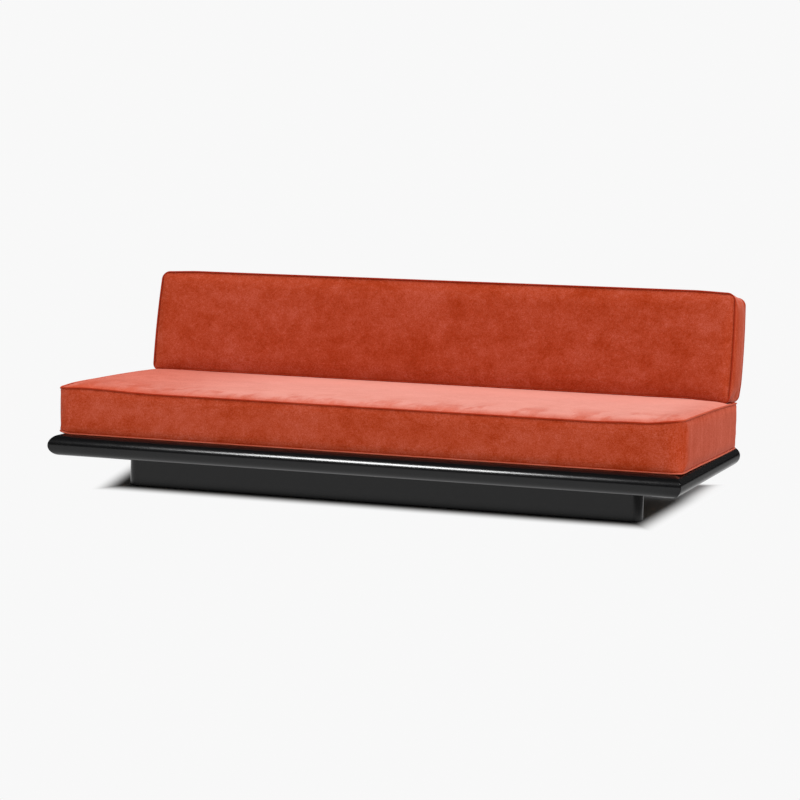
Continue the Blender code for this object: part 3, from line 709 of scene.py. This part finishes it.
def back_place(local):
    """The back cushion stands on its edge, leaning back: level runs from its rear face to its front face. It
    draws in towards the rear, its ends bow out, its top runs up a little to the right and down at both ends,
    and its foot is sheared to lie level, hanging lower at the rear."""
    depth = BACK_THICK - local[..., 2]
    drawn = BACK_DRAW * smooth(depth, 0.45 * BACK_THICK, BACK_THICK)
    along = local[..., 1] * (1 - drawn / (BACK_HEIGHT / 2))
    share = along / BACK_HEIGHT + 0.5
    off = (share - BACK_BOW_SHARE) / (1 - BACK_BOW_SHARE)
    bow = BACK_BOW * (1 - off * off)
    side = local[..., 0] / BACK_HALF
    flare = BACK_RIGHT_FLARE * smooth(side, 0.9, 1.0) * smooth(depth, 0.03, 0.12) * smooth(share, 0.0, 0.2)
    across = local[..., 0] * (1 + (bow - drawn + flare) / BACK_HALF)
    up = along + BACK_HEIGHT / 2
    droop = BACK_END_DROOP * smooth(np.abs(side), 0.86, 1.0) * (1 - depth / BACK_THICK)
    perk = BACK_RIGHT_PERK * smooth(side, 0.88, 1.0) * depth / BACK_THICK
    up = up + (BACK_TOP_RISE + BACK_TOP_RUN * side - droop + perk) * np.clip(share, 0, 1) ** 2
    up = up + depth * math.tan(BACK_TILT) * (1 - up / BACK_HEIGHT)
    hang = end_settle(local[..., 0]) + FOOT_HANG * smooth(depth, 0.085, BACK_THICK)
    up = up - hang * np.clip(1 - share, 0, 1) ** 4
    y = BACK_FRONT + depth * math.cos(BACK_TILT) + up * math.sin(BACK_TILT)
    z = BACK_BOTTOM - depth * math.sin(BACK_TILT) + up * math.cos(BACK_TILT)
    return np.stack([across, y, z], -1)


def pockets(cushion, points, faces, places):
    """Cuts a slot for each post in the foot of the cushion and lines it with a pocket that runs up along the
    lean."""
    lean = np.array([0.0, math.sin(BACK_TILT), math.cos(BACK_TILT)])
    levels = [BACK_THICK - POST_SETBACK - POCKET_HALF_THICK, BACK_THICK - POST_SETBACK + POCKET_HALF_THICK]
    low, high = (int(np.abs(cushion.levels - level).argmin()) for level in levels)
    around = cushion.rows.shape[1]
    first_wall = 2 * (cushion.index.shape[0] - 1) * (cushion.index.shape[1] - 1)
    gone = []
    linings = []
    for place in places:
        sides = [place + cushion.wide / 2 + side * POCKET_HALF_WIDTH for side in (-1, 1)]
        left, right = (int(np.abs(cushion.across - side).argmin()) for side in sides)
        gone += [first_wall + row * around + column
                 for row in range(low, high) for column in range(left, right)]
        lower = [cushion.rows[low, column] for column in range(left, right + 1)]
        right_side = [cushion.rows[row, right] for row in range(low + 1, high)]
        upper = [cushion.rows[high, column] for column in range(right, left - 1, -1)]
        left_side = [cushion.rows[row, left] for row in range(high - 1, low, -1)]
        mouth = lower + right_side + upper + left_side
        ring = mouth
        for depth in POCKET_DEPTHS:
            start = len(points)
            points = np.concatenate([points, points[mouth] + lean * depth])
            inner = list(range(start, start + len(mouth)))
            linings += [(ring[i], ring[i - len(ring) + 1], inner[i - len(ring) + 1], inner[i])
                        for i in range(len(ring))]
            ring = inner
        linings.append(tuple(ring))
    kept = np.delete(faces, gone, axis=0).tolist()
    return points, kept + linings


def seat_painted_light(points):
    """Marks for the finish of the seat: the share of painted sheen it takes, less towards both ends, how far
    the ends of its seams are kept clear of painted shade, and the share of the way from its front seam to the
    back cushion."""
    side = points[:, 0] / SEAT_HALF
    sheen_share = 1 - (SHEEN_LOST_LEFT * smooth(-side, 0.30, 0.98) + SHEEN_LOST_RIGHT * smooth(side, 0.85, 1.0))
    clear = SEAM_END_CLEAR * smooth(np.abs(side), 0.975, 0.995)
    depth = (points[:, 1] - SEAT_FRONT) / (BACK_FRONT - SEAT_FRONT)
    return sheen_share, clear, depth


def back_painted_light(points):
    """The same marks for the back cushion: the full painted sheen everywhere, no seam clearance and no depth.
    """
    even = np.zeros(len(points))
    return even + 1, even, even


def padded_cover(name, cushion, place, caps, body, stands_for, painted_light_marks, press, slots=()):
    """The cushion's cover: placed, swollen by the cloth run within its caps, pressed where it is held, cut
    for its posts, and smoothed by one subdivision. Gives the points of the cover."""
    points = place(cushion.points)
    faces = cushion.faces()
    limits = cushion.caps(*caps)
    points = swollen(name, points, faces, cushion.seams, limits)
    points = press(points)
    cover = points
    faces = faces.tolist()
    if slots:
        points, faces = pockets(cushion, points, np.array(faces), slots)
    made = piece(name, points, faces, VELVET, body)
    near = np.full(len(points), POCKET_FROM_SEAM)
    near[: len(cover)] = cushion.seam_near
    sheen_share, clear, depth = painted_light_marks(points)
    store(made, "seam", near + clear)
    store(made, "sheen_share", sheen_share)
    store(made, "depth", depth)
    rounder = made.modifiers.new("smooth", "SUBSURF")
    rounder.levels = 1
    rounder.render_levels = 1
    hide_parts(*stands_for)
    return cover


def rounded_outline(half_wide, half_high, low_radius, high_radius, count):
    """A rectangle with one radius for its two low corners and one for its two high ones, with this many
    points to a corner."""
    quarter = np.linspace(0, np.pi / 2, count)
    turns = np.concatenate([quarter + k * np.pi / 2 for k in range(4)])
    radius = np.repeat([high_radius, high_radius, low_radius, low_radius], count)
    x = np.repeat([1, -1, -1, 1], count) * (half_wide - radius) + radius * np.cos(turns)
    y = np.repeat([1, 1, -1, -1], count) * (half_high - radius) + radius * np.sin(turns)
    return x, y


def outline_loop(cushion, inset, step):
    """The outline of a cushion as a closed line of even steps, drawn in by the inset."""
    sizes = (cushion.wide / 2, cushion.high / 2, *cushion.radii)
    x, y = rounded_outline(*(size - inset for size in sizes), PIPING_CORNER_POINTS)
    x, y = np.append(x, x[0]), np.append(y, y[0])
    length = np.concatenate([[0], np.cumsum(np.hypot(np.diff(x), np.diff(y)))])
    even = np.linspace(0, length[-1], int(length[-1] / step), endpoint=False)
    return np.interp(even, length, x), np.interp(even, length, y)


def cord_round(name, path, look, body):
    """A closed cord of the piping's thickness: a circle carried along a closed path, square to it."""
    ahead = np.roll(path, -1, 0) - np.roll(path, 1, 0)
    ahead /= np.linalg.norm(ahead, axis=1)[:, None]
    middle = path.mean(0)
    first = np.cross(ahead, path - middle)
    first /= np.linalg.norm(first, axis=1)[:, None]
    second = np.cross(ahead, first)
    angles = np.linspace(0, 2 * np.pi, PIPING_SIDES, endpoint=False)
    ring = np.cos(angles)[None, :, None] * first[:, None] + np.sin(angles)[None, :, None] * second[:, None]
    points = path[:, None] + PIPING_RADIUS * ring
    return piece(name, points, sweep_faces(len(path), PIPING_SIDES, True, True), look, body)


def back_post(name, node):
    """A bent flat bar: a rectangle with rounded corners carried up from the rail, round the bend and along
    the lean."""
    low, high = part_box(node)
    bend = POST_BEND_RADIUS * math.tan(BACK_TILT / 2)
    leans = np.linspace(0, BACK_TILT, POST_BEND_POINTS)
    turn_y = POST_Y + POST_BEND_RADIUS * (1 - np.cos(leans))
    turn_z = BACK_BOTTOM - POST_BEND_BELOW - bend + POST_BEND_RADIUS * np.sin(leans)
    rise = POST_BEND_BELOW / math.cos(BACK_TILT) + POST_IN_CUSHION
    y = np.concatenate([[POST_Y], turn_y, [turn_y[-1] + rise * math.sin(BACK_TILT)]])
    z = np.concatenate([[POST_FOOT], turn_z, [turn_z[-1] + rise * math.cos(BACK_TILT)]])
    leans = np.concatenate([[0.0], leans, [BACK_TILT]])[:, None]
    wide, thick = rounded_outline(POST_WIDTH / 2, POST_THICK / 2, POST_CORNER, POST_CORNER,
                                  POST_CORNER_POINTS)
    points = np.stack(np.broadcast_arrays((low.x + high.x) / 2 + wide, y[:, None] + thick * np.cos(leans),
                                          z[:, None] - thick * np.sin(leans)), -1)
    made = piece(name, points, sweep_faces(len(y), len(wide), False, True), STEEL, "base")
    made.data.set_sharp_from_angle(angle=POST_SHARP_EDGE)
    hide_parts(node)


def zipper(name, node, line, out, body):
    """A zip along a line on the cover, facing out: a slightly domed tape, two rows of teeth that mesh along
    its middle, and a slider with its pull at one end."""
    length = np.concatenate([[0], np.cumsum(np.linalg.norm(np.diff(line, axis=0), axis=1))])
    ahead = (line[-1] - line[0]) / np.linalg.norm(line[-1] - line[0])
    side = np.cross(out, ahead)

    def at(distance):
        return np.stack([np.interp(distance, length, line[:, axis]) for axis in range(3)], -1)

    def bar(middle, half_long, half_wide, low, high):
        signs = np.array([[-1, -1], [1, -1], [1, 1], [-1, 1]])
        flat = middle + signs[:, :1] * half_long * ahead + signs[:, 1:] * half_wide * side
        box = [(3, 2, 1, 0), (4, 5, 6, 7), (0, 1, 5, 4), (1, 2, 6, 5), (2, 3, 7, 6), (3, 0, 4, 7)]
        return np.concatenate([flat + low * out, flat + high * out]), box

    section_side = np.array(TAPE_ACROSS) * ZIP_HALF_WIDTH
    section_out = np.array(TAPE_OUT)
    run = at(np.linspace(0, length[-1], int(length[-1] / ZIP_STEP)))
    tape = run[:, None] + section_side[None, :, None] * side + section_out[None, :, None] * out
    parts = [(tape.reshape(-1, 3), sweep_faces(*tape.shape[:2], False, True))]
    teeth = np.arange(ZIP_BARE_END, length[-1] - ZIP_BARE_END, ZIP_PITCH)
    for number, middle in enumerate(at(teeth)):
        off = TOOTH_OFFSET if number % 2 else -TOOTH_OFFSET
        parts.append(bar(middle + off * side, *TOOTH_BAR))
    parts.append(bar(at(length[-1] - SLIDER_FROM_END), *SLIDER_BAR))
    parts.append(bar(at(length[-1] - PULL_FROM_END), *PULL_BAR))
    points, faces = [], []
    start = 0
    for corners, sides in parts:
        faces += [[start + corner for corner in face] for face in sides]
        points.append(corners)
        start += len(corners)
    made = piece(name, np.concatenate(points), faces, ZIP, body, smooth=False)
    store(made, "tooth", np.arange(start) >= len(points[0]))
    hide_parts(node)


def piping(name, node, cushion, place, level, look, body, shade_lifted=0.0):
    """The corded piping in one seam, nested in the fold between sheet and boxing, and, when a share is given,
    painted lighter by it at both ends of the cushion, which lifts its painted shade there."""
    x, y = outline_loop(cushion, PIPING_INSET, PIPING_STEP)
    path = place(np.stack([x, y, np.full_like(x, level)], -1))
    made = cord_round(name, path, look, body)
    if shade_lifted:
        ends = shade_lifted * smooth(np.abs(path[:, 0]) / SEAT_HALF, *SHADE_LIFTED_ENDS)
        store(made, "shade_lifted", np.repeat(ends, PIPING_SIDES))
    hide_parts(node)


def dress_solid(solid, look):
    """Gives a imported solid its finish; the wooden ones are welded and their edges eased."""
    solid.data.materials.clear()
    solid.data.materials.append(look)
    if look in (PLYWOOD, BEECH_LONG):
        weld = solid.modifiers.new("weld", "WELD")
        weld.merge_threshold = WELD_DISTANCE
        bevel = solid.modifiers.new("ease", "BEVEL")
        bevel.width = BOARD_EASE
        bevel.segments = 2
        bevel.limit_method = "ANGLE"


rail("platform_front_rail", "front_rail", PLATFORM_HALF, PLATFORM_REACH, 0.0)
rail("platform_rear_rail", "rear_rail", PLATFORM_HALF, PLATFORM_REACH, math.pi)
rail("platform_right_rail", "right_rail", PLATFORM_REACH, PLATFORM_HALF, math.pi / 2)
rail("platform_left_rail", "left_rail", PLATFORM_REACH, PLATFORM_HALF, -math.pi / 2)
plinth_board("plinth_front_board", "front_plinth")
plinth_board("plinth_rear_board", "rear_plinth")
for place in ("left", "centre", "right"):
    back_post(place + "_bent_post", place + "_back_post")

seat_across = graded(2 * SEAT_HALF, SEAM_STEP, SHEET_STEP)
seat_along = graded(SEAT_DEPTH, SEAM_STEP, SHEET_STEP)
seat = Cushion(SEAT_THICK, SEAT_RADII, seat_across, seat_along, graded(SEAT_THICK, SEAM_STEP, BOXING_STEP))
seat_caps = (0.0, SEAT_CROWN, SEAT_BOXING_SWELL, SEAT_FRONT_SWELL)
seat_cloth = padded_cover("seat_cushion", seat, seat_place, seat_caps, "seat",
                          ("seat_cover", "seat_foam_core", "seat_topper"), seat_painted_light, seat_press)
piping("seat_lower_piping", "seat_bottom_piping", seat, seat_place, PIPING_INSET, WELT, "seat")
piping("seat_upper_piping", "seat_top_piping", seat, seat_place, SEAT_THICK - PIPING_INSET, PIPING, "seat",
       shade_lifted=SHADE_LIFTED_SHARE)

# The foot of the back cushion bows out by this much at the posts, so the pockets are set in by it.
foot_share = -BACK_BOW_SHARE / (1 - BACK_BOW_SHARE)
foot_bow = 1 + BACK_BOW * (1 - foot_share ** 2) / BACK_HALF
post_places = [-POST_OUTER / foot_bow, 0.0, POST_OUTER / foot_bow]
pocket_sides = [BACK_HALF + place + side * POCKET_HALF_WIDTH for place in post_places for side in (-1, 1)]
pocket_levels = [BACK_THICK - POST_SETBACK + side * POCKET_HALF_THICK for side in (-1, 1)]
back_across = snapped(graded(2 * BACK_HALF, SEAM_STEP, SHEET_STEP), pocket_sides)
back_along = graded(BACK_HEIGHT, SEAM_STEP, BACK_SHEET_STEP)
back_levels = snapped(graded(BACK_THICK, SEAM_STEP, BOXING_STEP), pocket_levels)
back = Cushion(BACK_THICK, BACK_RADII, back_across, back_along, back_levels)
back_caps = (BACK_CROWN, BACK_CROWN, BACK_BOXING_SWELL, BACK_FOOT_SWELL)
back_cloth = padded_cover("back_cushion", back, back_place, back_caps, "back",
                          ("back_cover", "back_front_foam", "back_rear_foam"), back_painted_light, back_press,
                          slots=post_places)
piping("back_rear_edge_piping", "back_rear_piping", back, back_place, PIPING_INSET, VELVET, "back")
piping("back_front_edge_piping", "back_front_piping", back, back_place, BACK_THICK - PIPING_INSET, PIPING,
       "back")

# The seat's zip runs along the middle of its rear boxing.
seat_middle = seat_cloth[seat.rows[np.abs(seat.levels - SEAT_THICK / 2).argmin()]]
at_rear = (seat_middle[:, 1] > SEAT_REAR - ZIP_REAR_BAND) & (np.abs(seat_middle[:, 0]) < SEAT_ZIP_HALF)
seat_middle = seat_middle[at_rear]
zipper("seat_rear_zip", "seat_zip", seat_middle[np.argsort(-seat_middle[:, 0])], np.array([0.0, 1.0, 0.0]),
       "seat")

# The back's zip runs along its foot, square to the slope between the grid rows on both sides of it.
zip_row = int(np.abs(back.levels - ZIP_SETBACK).argmin())
back_foot, nearer, further = (back_cloth[back.rows[zip_row + step]] for step in (0, 1, -1))
under = (back_foot[:, 2] < BACK_BOTTOM + ZIP_FOOT_BAND) & (np.abs(back_foot[:, 0]) < BACK_ZIP_HALF)
foot_out = np.cross((1.0, 0.0, 0.0), (nearer - further)[under].mean(0))
foot_out /= np.linalg.norm(foot_out)
back_foot = back_foot[under]
zipper("back_foot_zip", "back_zip", back_foot[np.argsort(back_foot[:, 0])], foot_out, "back")

# Finishes of the solids that show as they are, by the ending of their names.
LOOKS = {
    "_deck_panel": PLYWOOD, "back_board": PLYWOOD, "_bearer": BEECH_LONG, "_stretcher": BEECH_LONG,
    "_corner_block": BEECH_LONG, "_post_sleeve": STEEL, "_post_bolt": ZINC, "_glide": NYLON,
}
for name, solid in nodes.items():
    for ending, look in LOOKS.items():
        if name.endswith(ending):
            dress_solid(solid, look)

# Camera: its place, and its turn, tilt and roll in radians.
CAMERA_SENSOR = 36.0
CAMERA_LENS = 115.5
CAMERA_PLACE = (2.9845, PLATFORM_MID - 8.6274, 1.3296)
CAMERA_YAW = 0.3321
CAMERA_PITCH = 0.1073
CAMERA_ROLL = 0.0227
CAMERA_REACH = 200.0

# Backdrop and floor: the floor's shade in the open and its darker painted shade in the shadow, where the
# painted shadow's edge lies beside the front plinth board and behind the platform, the distances between
# which it fades, and where mirrors see the floor dark.
WHITE = 0.94
FLOOR_REACH = 60.0
FLOOR_OPEN = 0.65
FLOOR_PAINTED_SHADE = 0.13
SHADOW_LEFT = 0.018
SHADOW_LEFT_SPREAD = 0.265
SHADOW_RIGHT = 0.02
SHADOW_FRONT_SHARE = 0.62
SHADOW_REAR = 0.31
SHADOW_REAR_SHARE = 0.25
SHADOW_REAR_FULL = 0.8
SHADOW_FROM = 0.0
SHADOW_TO = 0.10
MIRROR_DARK_BEHIND = (0.6, 3.5)
MIRROR_DARK_ASIDE = (-0.2, 0.1)
MIRROR_DARK_SHARE = 0.85

# Light: the dome at the horizon, its rise to overhead, and what mirrors see of it; then each sun's name,
# strength, width in degrees and the way it shines; then the softbox.
DOME_LOW = 0.1
DOME_RISE = 0.97
DOME_MIRRORED = 0.045
SUNS = (
    ("key", 1.6, 100, (-0.62, 0.38, -0.68)),
    ("top", 1.45, 60, (0.0, -0.30, -0.95)),
    ("fill", 0.17, 60, (-0.10, 0.95, -0.30)),
)
SOFTBOX_POWER = 250.0
SOFTBOX_WIDE = 1.4
SOFTBOX_HIGH = 1.1
SOFTBOX_PLACE = (-1.40, PLATFORM_MID - 3.85, 2.8)
SOFTBOX_TARGET = (0.15, PLATFORM_MID - 0.5, 0.2)


def aim_camera():
    """The camera of the photograph: a long lens in front and to the right, a little above the seat."""
    camera = bpy.data.objects.new("camera", bpy.data.cameras.new("camera"))
    scene.collection.objects.link(camera)
    camera.data.sensor_width = CAMERA_SENSOR
    camera.data.lens = CAMERA_LENS
    level = np.array([math.cos(CAMERA_YAW), math.sin(CAMERA_YAW), 0.0])
    flat = math.cos(CAMERA_PITCH)
    ahead = np.array([-math.sin(CAMERA_YAW) * flat, math.cos(CAMERA_YAW) * flat, -math.sin(CAMERA_PITCH)])
    above = np.cross(level, ahead)
    right = math.cos(CAMERA_ROLL) * level + math.sin(CAMERA_ROLL) * above
    up = math.cos(CAMERA_ROLL) * above - math.sin(CAMERA_ROLL) * level
    turned = np.eye(4)
    turned[:3] = np.stack([right, up, -ahead, CAMERA_PLACE], -1)
    camera.matrix_world = Matrix(turned.tolist())
    camera.data.clip_end = CAMERA_REACH
    scene.camera = camera


def lay_floor():
    """A pale floor that takes the real shadow under and near the sofa and goes over into plain white further
    out; inside a painted outline its colour is also darkened as painted shadow. Behind the sofa the painted
    shadow gets darker and its edge sharper towards the right. Mirrors see the floor dark well behind the sofa
    and to the right of it."""
    points = np.array([[-1, -1, 0], [1, -1, 0], [1, 1, 0], [-1, 1, 0]]) * FLOOR_REACH
    mesh = bpy.data.meshes.new("studio_floor")
    mesh.from_pydata(points.tolist(), [], [(0, 1, 2, 3)])
    floor = bpy.data.objects.new("studio_floor", mesh)
    scene.collection.objects.link(floor)
    made = bpy.data.materials.new("studio floor")
    board = Board(made)
    board.tree.nodes.clear()
    where = board.node("ShaderNodeTexCoord", out="Object")
    x, y = board.node("ShaderNodeSeparateXYZ", {}, {0: where}, ("X", "Y"))
    right = x - plinth_high.x + SHADOW_RIGHT
    left = plinth_low.x - SHADOW_LEFT - x - (y - plinth_low.y) * SHADOW_LEFT_SPREAD
    before = (plinth_low.y - y) * SHADOW_FRONT_SHARE
    near = (y - PLATFORM_REAR) * SHADOW_REAR_SHARE
    # The painted shadow reaches further behind the sofa towards its right end.
    painted_reach = board.ramp(x, -PLATFORM_HALF, SHADOW_REAR_FULL)
    behind = near + (y - PLATFORM_REAR - SHADOW_REAR - near) * painted_reach
    out = right
    for side in (left, before, behind):
        out = board.node("ShaderNodeMath", {"operation": "MAXIMUM"}, {0: out, 1: side})
    camera_ray, glossy_ray = board.node("ShaderNodeLightPath", out=("Is Camera Ray", "Is Glossy Ray"))
    away = board.ramp(y, *(PLATFORM_REAR + distance for distance in MIRROR_DARK_BEHIND))
    aside = board.ramp(x, *(PLATFORM_HALF + distance for distance in MIRROR_DARK_ASIDE))
    mirrored = (1 - away) * (1 - aside * MIRROR_DARK_SHARE)
    clear = board.ramp(out, SHADOW_FROM, SHADOW_TO)
    far = clear * (camera_ray + glossy_ray * mirrored)
    # Painted shadow: inside the outline the floor's colour is darkened, on top of the real shadow it takes.
    pale = board.mix(clear, (FLOOR_PAINTED_SHADE,) * 3, (FLOOR_OPEN,) * 3)
    shade = board.mix(glossy_ray * (1 - mirrored), pale, (0.0, 0.0, 0.0))
    matt = board.node("ShaderNodeBsdfDiffuse", {}, {"Color": shade})
    white = board.node("ShaderNodeEmission", {}, {"Color": (WHITE, WHITE, WHITE, 1.0)})
    both = board.node("ShaderNodeMixShader", {}, {0: far, 1: matt, 2: white})
    board.node("ShaderNodeOutputMaterial", {}, {"Surface": both})
    mesh.materials.append(made)


def hang_light(name, kind, power, way):
    """Adds a light that shines this way."""
    light = bpy.data.lights.new(name, kind)
    light.energy = power
    holder = bpy.data.objects.new(name, light)
    scene.collection.objects.link(holder)
    holder.rotation_mode = "QUATERNION"
    holder.rotation_quaternion = way.to_track_quat("-Z", "Y")
    return holder


def light_studio():
    """Soft light: a dome that is brighter overhead, a broad key from the right in front, a top light, a
    faint fill from the front, and a softbox in front on the left that only mirrors see. The camera sees a
    white backdrop; mirrors see a dim room above the floor."""
    world = bpy.data.worlds.new("studio")
    scene.world = world
    board = Board(world)
    board.tree.nodes.clear()
    sky = board.node("ShaderNodeTexCoord", out="Generated")
    above = board.node("ShaderNodeSeparateXYZ", {}, {0: sky}, "Z")
    rays = ("Is Camera Ray", "Is Transmission Ray", "Is Glossy Ray")
    camera_ray, clear_ray, glossy_ray = board.node("ShaderNodeLightPath", out=rays)
    dome = DOME_LOW + board.ramp(above, 0.0, 1.0) * DOME_RISE
    lit = dome + glossy_ray * (DOME_MIRRORED - dome)
    shown = camera_ray + clear_ray
    strength = lit + shown * (WHITE - lit)
    glow = board.node("ShaderNodeBackground", {}, {"Color": (1.0, 1.0, 1.0, 1.0), "Strength": strength})
    board.node("ShaderNodeOutputWorld", {}, {"Surface": glow})

    for name, power, angle, way in SUNS:
        sun = hang_light(name, "SUN", power, Vector(way))
        sun.data.angle = math.radians(angle)
        sun.visible_glossy = False
    softbox = hang_light("softbox", "AREA", SOFTBOX_POWER, Vector(SOFTBOX_TARGET) - Vector(SOFTBOX_PLACE))
    softbox.location = SOFTBOX_PLACE
    softbox.data.shape = "RECTANGLE"
    softbox.data.size = SOFTBOX_WIDE
    softbox.data.size_y = SOFTBOX_HIGH
    softbox.visible_diffuse = False


aim_camera()
lay_floor()
light_studio()
scene.view_settings.view_transform = "Standard"
